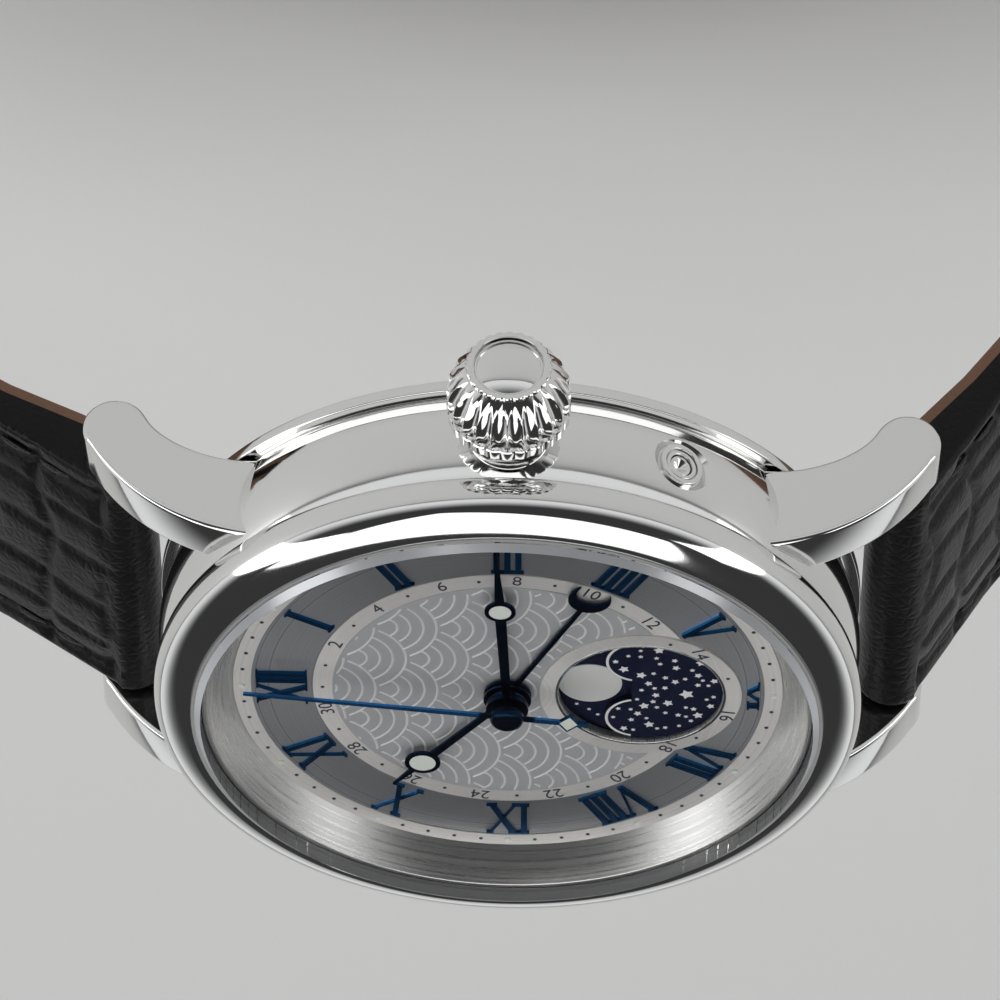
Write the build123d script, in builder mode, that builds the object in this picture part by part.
from build123d import *
import math
import os

os.makedirs("parts", exist_ok=True)

# Frame of the watch, in millimetres: +Z is out of the dial, +Y is 12 o'clock, +X is 3 o'clock,
# and the origin is the centre of the back glass's outer face.

# Case radii
band_edge_radius = 19.3
band_bulge = 0.6
case_bore_radius = 17.2
bezel_radius = 20.0
crest_radius = 17.85
crystal_radius = 17.6
rim_radius = 19.95
back_ring_radius = 18.6
back_glass_radius = 13.2
back_view_radius = 12.6

# Case levels above the back glass's outer face
back_ring_level = 0.2
rim_bottom = 1.2
rim_top = 1.9
band_bottom = 2.1
band_top = 7.8
crest_level = 10.6
dial_level = 7.7
crown_axis_level = 4.85

# Strap
lug_gap = 20.4
strap_width = 20.0
strap_end_width = 18.0
strap_padding = 2.15
strap_tail_padding = 1.5
lining_thickness = 0.8

# Clearances
running_clearance = 0.04
sliding_clearance = 0.05
soft_clearance = 0.3
cut_overrun = 1.0


def clock_plane(angle, level, radius=0):
    """Plane at a level whose local y points at a clock angle, clockwise from 12 o'clock."""
    turn = math.radians(angle)
    origin = (radius * math.sin(turn), radius * math.cos(turn), level)
    return Plane(origin=origin, x_dir=(math.cos(turn), -math.sin(turn), 0), z_dir=(0, 0, 1))


def radial_plane(angle, level, radius):
    """Plane whose normal points outward through the band, at an angle from 3 o'clock toward 12."""
    turn = math.radians(angle)
    origin = (radius * math.cos(turn), radius * math.sin(turn), level)
    return Plane(origin=origin, x_dir=(0, 0, 1), z_dir=(math.cos(turn), math.sin(turn), 0))


def dome_rise(radius, height, reach):
    """Rise of a spherical dome above its edge, at a reach from its middle."""
    sphere = (radius**2 + height**2) / (2 * height)
    return height - sphere + math.sqrt(sphere**2 - reach**2)


def ring_profile(inner, outer, bottom, top):
    """Rectangle in the XZ plane, to be revolved about the watch's axis."""
    Polyline((inner, bottom), (outer, bottom), (outer, top), (inner, top), close=True)


# Crown and corrector sizes that the case is bored for
tube_radius = 1.1
stem_radius = 0.5
crown_standoff = 0.4
crown_tube_overlap = 1.6
crown_base = band_edge_radius + band_bulge + crown_standoff
crown_tube_end = crown_base + crown_tube_overlap
corrector_angle = -28.8
corrector_socket_radius = 1.55
corrector_socket_depth = 0.35
corrector_bush_radius = 1.3
corrector_button_radius = 0.72
corrector_flange_radius = 0.85

# Mid case: the polished band with a barrel-shaped side
bezel_seat_depth = 0.7
bezel_skirt_radius = 18.2
band_middle = (band_bottom + band_top) / 2
with BuildPart() as mid_case:
    with BuildSketch(Plane.XZ):
        with BuildLine():
            Line((case_bore_radius, band_bottom), (band_edge_radius, band_bottom))
            ThreePointArc(
                (band_edge_radius, band_bottom),
                (band_edge_radius + band_bulge, band_middle),
                (band_edge_radius, band_top),
            )
            Polyline(
                (band_edge_radius, band_top),
                (bezel_skirt_radius, band_top),
                (bezel_skirt_radius, band_top - bezel_seat_depth),
                (case_bore_radius, band_top - bezel_seat_depth),
                (case_bore_radius, band_bottom),
            )
        make_face()
    revolve(axis=Axis.Z)
    with BuildSketch(Plane.YZ.offset(case_bore_radius - cut_overrun)):
        with Locations((0, crown_axis_level)):
            Circle(tube_radius)
    extrude(amount=bezel_radius, mode=Mode.SUBTRACT)
    with BuildSketch(radial_plane(corrector_angle, crown_axis_level, case_bore_radius - cut_overrun)):
        Circle(corrector_bush_radius)
    extrude(amount=bezel_radius, mode=Mode.SUBTRACT)
    socket_floor = band_edge_radius + band_bulge - corrector_socket_depth
    with BuildSketch(radial_plane(corrector_angle, crown_axis_level, socket_floor)):
        Circle(corrector_socket_radius)
    extrude(amount=bezel_radius, mode=Mode.SUBTRACT)
mid_case.part.label = "mid_case"
export_step(mid_case.part, "parts/mid_case.step")

# Bezel: stepped ring snapped on the band, with a ledge for the crystal
bezel_side_height = 0.75
bezel_land_width = 0.3
crystal_edge_height = 1.0
crystal_ledge = crest_level - crystal_edge_height
bezel_bore_radius = crest_radius - (crest_radius - crystal_radius) / 5
with BuildPart() as bezel:
    with BuildSketch(Plane.XZ):
        with BuildLine():
            Polyline(
                (case_bore_radius, band_top - bezel_seat_depth),
                (bezel_skirt_radius, band_top - bezel_seat_depth),
                (bezel_skirt_radius, band_top),
                (bezel_radius, band_top),
                (bezel_radius, band_top + bezel_side_height),
            )
            ThreePointArc(
                (bezel_radius, band_top + bezel_side_height),
                (
                    (bezel_radius + crest_radius + bezel_land_width) / 2 + bezel_land_width,
                    (band_top + bezel_side_height + crest_level) / 2 + bezel_land_width,
                ),
                (crest_radius + bezel_land_width, crest_level),
            )
            Polyline(
                (crest_radius + bezel_land_width, crest_level),
                (bezel_bore_radius, crest_level),
                (bezel_bore_radius, crystal_ledge),
                (case_bore_radius, crystal_ledge),
                (case_bore_radius, band_top - bezel_seat_depth),
            )
        make_face()
    revolve(axis=Axis.Z)
bezel.part.label = "bezel"
export_step(bezel.part, "parts/bezel.step")

# Crystal: domed sapphire with a bevelled edge, pressed into its gasket
crystal_dome = 0.9
crystal_bevel = 0.35
crystal_proud = 0.1
crystal_edge_top = crest_level + crystal_proud
with BuildPart() as crystal:
    with BuildSketch(Plane.XZ):
        with BuildLine():
            ThreePointArc(
                (0, crystal_edge_top + crystal_bevel + crystal_dome),
                (
                    crystal_radius / 2,
                    crystal_edge_top
                    + crystal_bevel
                    + dome_rise(crystal_radius - crystal_bevel, crystal_dome, crystal_radius / 2),
                ),
                (crystal_radius - crystal_bevel, crystal_edge_top + crystal_bevel),
            )
            Polyline(
                (crystal_radius - crystal_bevel, crystal_edge_top + crystal_bevel),
                (crystal_radius, crystal_edge_top),
                (crystal_radius, crystal_ledge),
                (case_bore_radius, crystal_ledge),
            )
            ThreePointArc(
                (case_bore_radius, crystal_ledge),
                (
                    case_bore_radius / 2,
                    crystal_ledge + dome_rise(case_bore_radius, crystal_dome, case_bore_radius / 2),
                ),
                (0, crystal_ledge + crystal_dome),
            )
            Line(
                (0, crystal_ledge + crystal_dome),
                (0, crystal_edge_top + crystal_bevel + crystal_dome),
            )
        make_face()
    revolve(axis=Axis.Z)
crystal.part.label = "crystal"
export_step(crystal.part, "parts/crystal.step")

with BuildPart() as crystal_gasket:
    with BuildSketch(Plane.XZ):
        with BuildLine():
            ring_profile(crystal_radius, bezel_bore_radius, crystal_ledge, crest_level)
        make_face()
    revolve(axis=Axis.Z)
crystal_gasket.part.label = "crystal_gasket"
export_step(crystal_gasket.part, "parts/crystal_gasket.step")

# Case back: snap back with a rim, a collar inside the band and a ledge for its glass
collar_wall = 1.0
collar_height = 1.2
back_groove_radius = 19.1
back_glass_thickness = 0.9
back_lip_thickness = 0.4
back_gasket_width = 0.3
collar_radius = case_bore_radius - sliding_clearance
collar_top = band_bottom + collar_height
back_seat_radius = back_glass_radius + back_gasket_width
lip_top = back_glass_thickness + back_lip_thickness
with BuildPart() as case_back:
    with BuildSketch(Plane.XZ):
        with BuildLine():
            Polyline(
                (back_seat_radius, back_ring_level),
                (back_ring_radius, back_ring_level),
                (back_ring_radius, rim_bottom),
                (rim_radius, rim_bottom),
                (rim_radius, rim_top),
                (back_groove_radius, rim_top),
                (back_groove_radius, band_bottom),
                (collar_radius, band_bottom),
                (collar_radius, collar_top),
                (collar_radius - collar_wall, collar_top),
                (collar_radius - collar_wall, lip_top),
                (back_view_radius, lip_top),
                (back_view_radius, back_glass_thickness),
                (back_seat_radius, back_glass_thickness),
                close=True,
            )
        make_face()
    revolve(axis=Axis.Z)
case_back.part.label = "case_back"
export_step(case_back.part, "parts/case_back.step")

with BuildPart() as back_glass:
    with BuildSketch():
        Circle(back_glass_radius)
    extrude(amount=back_glass_thickness)
back_glass.part.label = "back_glass"
export_step(back_glass.part, "parts/back_glass.step")

with BuildPart() as back_gasket:
    with BuildSketch(Plane.XY.offset(back_ring_level)):
        Circle(back_seat_radius)
        Circle(back_glass_radius, mode=Mode.SUBTRACT)
    extrude(amount=back_glass_thickness - back_ring_level)
back_gasket.part.label = "back_gasket"
export_step(back_gasket.part, "parts/back_gasket.step")

# Four horn-shaped lugs, soldered to the band: a side profile that ends in a round tip
lug_width = 3.0
lug_overhang = 2.8
lug_tip_reach = band_edge_radius + lug_overhang
lug_tip_level = -0.15
lug_tip_radius = 1.85
lug_root_reach = 13.4
lug_root_top = 7.3
lug_root_bottom = 1.85
lug_crown_reach = 18.3
lug_crown_level = 5.95
lug_belly_reach = 18.2
lug_belly_level = 1.15
lug_edge_round = 0.4
lug_neck_round = 0.8
tip_upper_angle = 42
tip_lower_angle = 189
tip_low_angle = -70


def tip_point(angle):
    """Point on the round tip of a lug, in the plane of reach and level."""
    turn = math.radians(angle)
    return (
        lug_tip_reach + lug_tip_radius * math.cos(turn),
        lug_tip_level + lug_tip_radius * math.sin(turn),
    )


# The band, the bezel and the back as one filled outline, which the lug roots are cut to
with BuildPart() as case_envelope:
    with BuildSketch(Plane.XZ):
        with BuildLine():
            Polyline(
                (0, 0),
                (rim_radius, 0),
                (rim_radius, band_bottom),
                (band_edge_radius, band_bottom),
            )
            ThreePointArc(
                (band_edge_radius, band_bottom),
                (band_edge_radius + band_bulge, band_middle),
                (band_edge_radius, band_top),
            )
            Polyline(
                (band_edge_radius, band_top),
                (bezel_radius, band_top),
                (bezel_radius, crest_level),
                (0, crest_level),
                (0, 0),
            )
        make_face()
    revolve(axis=Axis.Z)

spring_bar_radius = 0.75
spring_bar_tip_radius = 0.4
spring_bar_tip_length = 0.8
with BuildPart() as lug:
    with BuildSketch(Plane.YZ.offset(lug_gap / 2)) as lug_side:
        with BuildLine():
            ThreePointArc(
                (lug_root_reach, lug_root_top),
                (lug_crown_reach, lug_crown_level),
                tip_point(tip_upper_angle),
            )
            ThreePointArc(
                tip_point(tip_upper_angle),
                tip_point(tip_low_angle),
                tip_point(tip_lower_angle),
            )
            ThreePointArc(
                tip_point(tip_lower_angle),
                (lug_belly_reach, lug_belly_level),
                (lug_root_reach, lug_root_bottom),
            )
            Line((lug_root_reach, lug_root_bottom), (lug_root_reach, lug_root_top))
        make_face()
        neck = lug_side.vertices().sort_by_distance(Vector(*tip_point(tip_lower_angle)))[0]
        fillet(neck, radius=lug_neck_round)
    extrude(amount=lug_width)
    outer_edges = lug.faces().sort_by(Axis.X)[-1].edges().filter_by(GeomType.CIRCLE)
    fillet(outer_edges.sort_by(Axis.Z)[-1], radius=lug_edge_round)
    with BuildSketch(Plane.YZ.offset(lug_gap / 2)):
        with Locations((lug_tip_reach, lug_tip_level)):
            Circle(spring_bar_tip_radius)
    extrude(amount=spring_bar_tip_length, mode=Mode.SUBTRACT)
    add(case_envelope.part, mode=Mode.SUBTRACT)
with BuildPart() as lugs_12:
    add(lug.part)
    mirror(about=Plane.YZ)
lugs_12.part.label = "lugs_12"
export_step(lugs_12.part, "parts/lugs_12.step")

with BuildPart() as lugs_6:
    mirror(lugs_12.part, about=Plane.XZ)
lugs_6.part.label = "lugs_6"
export_step(lugs_6.part, "parts/lugs_6.step")

with BuildPart() as spring_bars:
    for side in (1, -1):
        with BuildSketch(Plane.YZ):
            with Locations((side * lug_tip_reach, lug_tip_level)):
                Circle(spring_bar_radius)
        extrude(amount=lug_gap / 2 - sliding_clearance, both=True)
        with BuildSketch(Plane.YZ):
            with Locations((side * lug_tip_reach, lug_tip_level)):
                Circle(spring_bar_tip_radius)
        extrude(amount=lug_gap / 2 + spring_bar_tip_length, both=True)
spring_bars.part.label = "spring_bars"
export_step(spring_bars.part, "parts/spring_bars.step")

# Movement levels, from the back up to the dial
dial_thickness = 0.4
rotor_gap = 0.2
rotor_thickness = 0.6
bridge_gap = 0.2
bridge_thickness = 0.6
wheel_gap = 0.1
wheel_space = 1.1
plate_thickness = 1.7
plate_radius = 14.6
rotor_level = lip_top + rotor_gap
bridge_level = rotor_level + rotor_thickness + bridge_gap
wheel_level = bridge_level + bridge_thickness + wheel_gap
plate_level = wheel_level + wheel_space + wheel_gap
plate_top = plate_level + plate_thickness
dial_bottom = dial_level - dial_thickness

# Movement ring: spacer between the case back's collar and the dial
corrector_pocket_depth = 1.6
corrector_pocket_radius = 0.95
stem_hole_radius = stem_radius + sliding_clearance
ring_radius = case_bore_radius - sliding_clearance
pocket_floor = ring_radius - corrector_pocket_depth
with BuildPart() as movement_ring:
    with BuildSketch(Plane.XY.offset(collar_top)):
        Circle(ring_radius)
        Circle(plate_radius, mode=Mode.SUBTRACT)
    extrude(amount=dial_bottom - collar_top)
    with BuildSketch(Plane.YZ.offset(plate_radius - cut_overrun)):
        with Locations((0, crown_axis_level)):
            Circle(stem_hole_radius)
    extrude(amount=bezel_radius, mode=Mode.SUBTRACT)
    with BuildSketch(radial_plane(corrector_angle, crown_axis_level, pocket_floor)):
        Circle(corrector_pocket_radius)
    extrude(amount=bezel_radius, mode=Mode.SUBTRACT)
movement_ring.part.label = "movement_ring"
export_step(movement_ring.part, "parts/movement_ring.step")

# Hands' pipes, one inside the other round the fixed centre tube
seconds_arbor_radius = 0.12
centre_tube_wall = 0.1
pipe_wall = 0.2
centre_bore = seconds_arbor_radius + running_clearance
centre_tube_radius = centre_bore + centre_tube_wall
cannon_bore = centre_tube_radius + running_clearance
cannon_radius = cannon_bore + pipe_wall
hour_bore = cannon_radius + running_clearance
hour_pipe_radius = hour_bore + pipe_wall
date_bore = hour_pipe_radius + running_clearance
date_pipe_radius = date_bore + pipe_wall
dial_hole_radius = date_pipe_radius + 2 * running_clearance

# Hands' levels above the dial
hand_thickness = 0.15
date_hand_lift = 0.28
hand_step = 0.3
seconds_hand_lift = 0.92
date_hand_level = dial_level + date_hand_lift
hour_hand_level = date_hand_level + hand_step
minute_hand_level = hour_hand_level + hand_step
seconds_hand_level = minute_hand_level + seconds_hand_lift

# Motion works: two pairs of wheels that carry the minute hand's turning to the hour hand
motion_module = 0.125
cannon_teeth = 12
minute_wheel_teeth = 36
minute_pinion_teeth = 10
hour_wheel_teeth = 40
date_wheel_teeth = 31
gear_thickness = 0.25
gear_gap = 0.08
gear_tip_share = 0.12
gear_root_share = 0.29
gear_addendum_share = 0.85
gear_dedendum_share = 1.2
motion_angle = 45
lower_gear_level = plate_top + gear_gap
upper_gear_level = lower_gear_level + gear_thickness + gear_gap
date_wheel_level = upper_gear_level + gear_thickness + gear_gap
motion_distance = motion_module * (cannon_teeth + minute_wheel_teeth) / 2
hour_module = 2 * motion_distance / (minute_pinion_teeth + hour_wheel_teeth)


def gear_points(teeth, module, phase=0):
    """Corners of a toothed wheel: four for each tooth."""
    pitch_radius = teeth * module / 2
    tip = pitch_radius + gear_addendum_share * module
    root = pitch_radius - gear_dedendum_share * module
    step = 2 * math.pi / teeth
    points = []
    for tooth in range(teeth):
        middle = (tooth + phase) * step
        flanks = (
            (-gear_root_share, root),
            (-gear_tip_share, tip),
            (gear_tip_share, tip),
            (gear_root_share, root),
        )
        for share, radius in flanks:
            turn = middle + share * step
            points.append((radius * math.cos(turn), radius * math.sin(turn)))
    return points


# Main plate: the movement's frame, with the fixed centre tube and the minute wheel's post
post_radius = 0.3
stem_inner_end = 9.0
arbor_seat_depth = 0.8
barrel_x = 6.2
barrel_y = 6.6
barrel_radius = 4.9
barrel_arbor_radius = 0.7
balance_x = -6.9
balance_y = -5.6
balance_radius = 3.6
staff_radius = 0.15
moon_centre_y = -7.5
moon_shaft_radius = 0.5
screw_radius = 0.35
screw_depth = 0.9
screw_head_radius = 0.75
screw_head_height = 0.3
pillar_radius = 0.9
bridge_pillars = (
    (-plate_radius * 0.82, plate_radius * 0.12),
    (-plate_radius * 0.35, plate_radius * 0.78),
    (plate_radius * 0.83, plate_radius * 0.25),
)
cock_pillar_share = 1.52
cock_pillar = (balance_x * cock_pillar_share, balance_y * cock_pillar_share)
with BuildPart() as main_plate:
    with BuildSketch(Plane.XY.offset(plate_level)):
        Circle(plate_radius)
        Circle(centre_bore, mode=Mode.SUBTRACT)
    extrude(amount=plate_thickness)
    with BuildSketch(Plane.XY.offset(plate_top)):
        Circle(centre_tube_radius)
        Circle(centre_bore, mode=Mode.SUBTRACT)
    extrude(amount=dial_level - plate_top)
    with BuildSketch(clock_plane(motion_angle, plate_top, motion_distance)):
        Circle(post_radius)
    extrude(amount=date_wheel_level - plate_top)
    with BuildSketch(Plane.YZ.offset(stem_inner_end - sliding_clearance)):
        with Locations((0, crown_axis_level)):
            Circle(stem_hole_radius)
    extrude(amount=plate_radius, mode=Mode.SUBTRACT)
    with BuildSketch(Plane.XY.offset(plate_top)):
        with Locations((0, moon_centre_y)):
            Circle(moon_shaft_radius + running_clearance)
    extrude(amount=-arbor_seat_depth, mode=Mode.SUBTRACT)
    with BuildSketch(Plane.XY.offset(plate_level)):
        with Locations((barrel_x, barrel_y)):
            Circle(barrel_arbor_radius + running_clearance)
        with Locations((balance_x, balance_y)):
            Circle(staff_radius + running_clearance)
    extrude(amount=arbor_seat_depth, mode=Mode.SUBTRACT)
    with BuildSketch(Plane.XY.offset(plate_level)):
        with Locations(*bridge_pillars, cock_pillar):
            Circle(screw_radius)
    extrude(amount=screw_depth, mode=Mode.SUBTRACT)
main_plate.part.label = "main_plate"
export_step(main_plate.part, "parts/main_plate.step")

# Train bridge: covers the upper side of the movement's back and carries the rotor's post
bridge_radius = 14.2
bridge_lower_edge = -2.2
rotor_post_radius = 0.8
rotor_screw_head_height = 0.3
rotor_screw_radius = 0.4
rotor_hub_height = rotor_thickness + rotor_gap / 2
with BuildPart() as train_bridge:
    with BuildSketch(Plane.XY.offset(bridge_level)):
        Circle(bridge_radius)
        with Locations((0, bridge_lower_edge)):
            Rectangle(
                2 * bridge_radius,
                2 * bridge_radius,
                align=(Align.CENTER, Align.MAX),
                mode=Mode.SUBTRACT,
            )
        with Locations((barrel_x, barrel_y)):
            Circle(barrel_arbor_radius + running_clearance, mode=Mode.SUBTRACT)
    extrude(amount=bridge_thickness)
    fillet(train_bridge.edges().filter_by(Axis.Z), radius=rotor_post_radius)
    with BuildSketch(Plane.XY.offset(bridge_level + bridge_thickness)):
        with Locations(*bridge_pillars):
            Circle(pillar_radius)
    extrude(amount=plate_level - bridge_level - bridge_thickness)
    with BuildSketch(Plane.XY.offset(bridge_level)):
        with Locations(*bridge_pillars):
            Circle(screw_radius)
    extrude(amount=plate_level - bridge_level, mode=Mode.SUBTRACT)
    with BuildSketch(Plane.XY.offset(bridge_level)):
        with Locations(*bridge_pillars):
            Circle(screw_head_radius)
    extrude(amount=screw_head_height, mode=Mode.SUBTRACT)
    with BuildSketch(Plane.XY.offset(bridge_level)):
        Circle(rotor_post_radius)
    extrude(amount=-(bridge_level - rotor_level))
    with BuildSketch(Plane.XY.offset(rotor_level)):
        Circle(rotor_screw_radius)
    extrude(amount=rotor_hub_height, mode=Mode.SUBTRACT)
train_bridge.part.label = "train_bridge"
export_step(train_bridge.part, "parts/train_bridge.step")

# Balance cock: a bar from its pillar to over the balance staff
cock_width = 2.6
with BuildPart() as balance_cock:
    cock_middle = ((balance_x + cock_pillar[0]) / 2, (balance_y + cock_pillar[1]) / 2)
    cock_angle = math.degrees(math.atan2(balance_y, balance_x))
    cock_length = math.dist((balance_x, balance_y), cock_pillar)
    with BuildSketch(Plane.XY.offset(bridge_level)):
        with Locations(Location((*cock_middle, 0), (0, 0, cock_angle))):
            SlotCenterToCenter(cock_length, cock_width)
        with Locations((balance_x, balance_y)):
            Circle(staff_radius + running_clearance, mode=Mode.SUBTRACT)
    extrude(amount=bridge_thickness)
    with BuildSketch(Plane.XY.offset(bridge_level + bridge_thickness)):
        with Locations(cock_pillar):
            Circle(pillar_radius)
    extrude(amount=plate_level - bridge_level - bridge_thickness)
    with BuildSketch(Plane.XY.offset(bridge_level)):
        with Locations(cock_pillar):
            Circle(screw_radius)
    extrude(amount=plate_level - bridge_level, mode=Mode.SUBTRACT)
    with BuildSketch(Plane.XY.offset(bridge_level)):
        with Locations(cock_pillar):
            Circle(screw_head_radius)
    extrude(amount=screw_head_height, mode=Mode.SUBTRACT)
balance_cock.part.label = "balance_cock"
export_step(balance_cock.part, "parts/balance_cock.step")

# Four slotted screws that hold the bridge and the cock to the main plate
screw_slot_width = 0.2
screw_slot_depth = 0.12
with BuildPart() as movement_screws:
    with BuildSketch(Plane.XY.offset(bridge_level)):
        with Locations(*bridge_pillars, cock_pillar):
            Circle(screw_head_radius)
    extrude(amount=screw_head_height)
    with BuildSketch(Plane.XY.offset(bridge_level + screw_head_height)):
        with Locations(*bridge_pillars, cock_pillar):
            Circle(screw_radius)
    extrude(amount=plate_level + screw_depth - bridge_level - screw_head_height)
    with BuildSketch(Plane.XY.offset(bridge_level)):
        with Locations(*bridge_pillars, cock_pillar):
            Rectangle(2 * screw_head_radius, screw_slot_width)
    extrude(amount=screw_slot_depth, mode=Mode.SUBTRACT)
movement_screws.part.label = "movement_screws"
export_step(movement_screws.part, "parts/movement_screws.step")

# Rotor: half-round winding weight on the bridge's post
rotor_radius = 14.0
rotor_rim_width = 3.2
rotor_hub_radius = 2.4
rotor_web_width = 3.4
rotor_web_angle = 38
with BuildPart() as rotor:
    with BuildSketch(Plane.XY.offset(rotor_level)):
        Circle(rotor_radius)
        Circle(rotor_radius - rotor_rim_width, mode=Mode.SUBTRACT)
        Rectangle(
            2 * rotor_radius,
            2 * rotor_radius,
            align=(Align.CENTER, Align.MIN),
            mode=Mode.SUBTRACT,
        )
        for lean in (-rotor_web_angle, 0, rotor_web_angle):
            with Locations(Location((0, 0, 0), (0, 0, lean))):
                Rectangle(
                    rotor_web_width,
                    rotor_radius - rotor_rim_width / 2,
                    align=(Align.CENTER, Align.MAX),
                )
        Circle(rotor_hub_radius)
        Circle(rotor_post_radius + running_clearance, mode=Mode.SUBTRACT)
    extrude(amount=rotor_thickness)
rotor.part.label = "rotor"
export_step(rotor.part, "parts/rotor.step")

rotor_screw_head_radius = 1.3
with BuildPart() as rotor_screw:
    with BuildSketch(Plane.XY.offset(rotor_level - running_clearance - rotor_screw_head_height)):
        Circle(rotor_screw_head_radius)
    extrude(amount=rotor_screw_head_height)
    with BuildSketch(Plane.XY.offset(rotor_level - running_clearance)):
        Circle(rotor_screw_radius)
    extrude(amount=rotor_hub_height + running_clearance)
    with BuildSketch(Plane.XY.offset(rotor_level - running_clearance - rotor_screw_head_height)):
        Rectangle(2 * rotor_screw_head_radius, screw_slot_width)
    extrude(amount=screw_slot_depth, mode=Mode.SUBTRACT)
rotor_screw.part.label = "rotor_screw"
export_step(rotor_screw.part, "parts/rotor_screw.step")

# Mainspring barrel on its arbor
with BuildPart() as barrel:
    with BuildSketch(Plane.XY.offset(wheel_level)):
        with Locations((barrel_x, barrel_y)):
            Circle(barrel_radius)
    extrude(amount=wheel_space)
    with BuildSketch(Plane.XY.offset(wheel_level)):
        with Locations((barrel_x, barrel_y)):
            Circle(barrel_arbor_radius)
    extrude(amount=wheel_space + wheel_gap + arbor_seat_depth - running_clearance)
    with BuildSketch(Plane.XY.offset(wheel_level)):
        with Locations((barrel_x, barrel_y)):
            Circle(barrel_arbor_radius)
    extrude(amount=-(wheel_level - bridge_level))
barrel.part.label = "barrel"
export_step(barrel.part, "parts/barrel.step")

# Balance wheel with its staff, two arms and flat spiral spring
balance_rim_width = 0.45
balance_arm_width = 0.5
balance_thickness = 0.4
hairspring_pitch = 0.32
hairspring_width = 0.1
hairspring_start = 0.5
hairspring_half_turns = 12
hairspring_height = 0.15
collet_radius = 0.55
with BuildPart() as balance_wheel:
    with BuildSketch(Plane.XY.offset(wheel_level)):
        with Locations((balance_x, balance_y)):
            Circle(balance_radius)
            Circle(balance_radius - balance_rim_width, mode=Mode.SUBTRACT)
            Rectangle(2 * balance_radius - balance_rim_width, balance_arm_width)
            Circle(collet_radius)
    extrude(amount=balance_thickness)
    with BuildSketch(Plane.XY.offset(wheel_level)):
        with Locations((balance_x, balance_y)):
            Circle(staff_radius)
    extrude(amount=wheel_space + wheel_gap + arbor_seat_depth - running_clearance)
    with BuildSketch(Plane.XY.offset(wheel_level)):
        with Locations((balance_x, balance_y)):
            Circle(staff_radius)
    extrude(amount=-(wheel_level - bridge_level))
    spring_level = wheel_level + balance_thickness + wheel_gap
    with BuildSketch(Plane.XY.offset(wheel_level + balance_thickness)):
        with Locations((balance_x, balance_y)):
            Circle(collet_radius)
    extrude(amount=wheel_gap + hairspring_height)
    with BuildSketch(Plane.XY.offset(spring_level)):
        with BuildLine():
            radius = hairspring_start
            tail = balance_x - radius
            for half_turn in range(hairspring_half_turns):
                direction = 1 if half_turn % 2 == 0 else -1
                head = tail + direction * 2 * radius
                middle = (tail + head) / 2
                ThreePointArc(
                    (tail, balance_y),
                    (middle, balance_y + direction * radius),
                    (head, balance_y),
                )
                tail = head
                radius += hairspring_pitch / 2
        trace(line_width=hairspring_width)
    extrude(amount=hairspring_height)
balance_wheel.part.label = "balance_wheel"
export_step(balance_wheel.part, "parts/balance_wheel.step")

# Cannon pinion: carries the minute hand
with BuildPart() as cannon_pinion:
    with BuildSketch(Plane.XY.offset(lower_gear_level)):
        Polygon(*gear_points(cannon_teeth, motion_module), align=None)
        Circle(cannon_bore, mode=Mode.SUBTRACT)
    extrude(amount=gear_thickness)
    with BuildSketch(Plane.XY.offset(lower_gear_level)):
        Circle(cannon_radius)
        Circle(cannon_bore, mode=Mode.SUBTRACT)
    extrude(amount=minute_hand_level + hand_thickness - lower_gear_level)
cannon_pinion.part.label = "cannon_pinion"
export_step(cannon_pinion.part, "parts/cannon_pinion.step")

# Minute wheel with its pinion, on the plate's post
minute_wheel_phase = 0
with BuildPart() as minute_wheel:
    with BuildSketch(clock_plane(motion_angle, lower_gear_level, motion_distance)):
        Polygon(*gear_points(minute_wheel_teeth, motion_module, minute_wheel_phase), align=None)
        Circle(post_radius + running_clearance, mode=Mode.SUBTRACT)
    extrude(amount=gear_thickness + gear_gap)
    with BuildSketch(clock_plane(motion_angle, upper_gear_level, motion_distance)):
        Polygon(*gear_points(minute_pinion_teeth, hour_module), align=None)
        Circle(post_radius + running_clearance, mode=Mode.SUBTRACT)
    extrude(amount=gear_thickness)
minute_wheel.part.label = "minute_wheel"
export_step(minute_wheel.part, "parts/minute_wheel.step")

# Hour wheel: its pipe carries the hour hand
hour_wheel_phase = 0
with BuildPart() as hour_wheel:
    with BuildSketch(clock_plane(motion_angle, upper_gear_level)):
        Polygon(*gear_points(hour_wheel_teeth, hour_module, hour_wheel_phase), align=None)
        Circle(hour_bore, mode=Mode.SUBTRACT)
    extrude(amount=gear_thickness)
    with BuildSketch(Plane.XY.offset(upper_gear_level)):
        Circle(hour_pipe_radius)
        Circle(hour_bore, mode=Mode.SUBTRACT)
    extrude(amount=hour_hand_level + hand_thickness - upper_gear_level)
hour_wheel.part.label = "hour_wheel"
export_step(hour_wheel.part, "parts/hour_wheel.step")

# Date wheel: 31 teeth, and the pipe that carries the date hand
date_wheel_thickness = 0.15
date_module = 0.14
with BuildPart() as date_wheel:
    with BuildSketch(Plane.XY.offset(date_wheel_level)):
        Polygon(*gear_points(date_wheel_teeth, date_module), align=None)
        Circle(date_bore, mode=Mode.SUBTRACT)
    extrude(amount=date_wheel_thickness)
    with BuildSketch(Plane.XY.offset(date_wheel_level)):
        Circle(date_pipe_radius)
        Circle(date_bore, mode=Mode.SUBTRACT)
    extrude(amount=date_hand_level + hand_thickness - date_wheel_level)
date_wheel.part.label = "date_wheel"
export_step(date_wheel.part, "parts/date_wheel.step")

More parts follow.
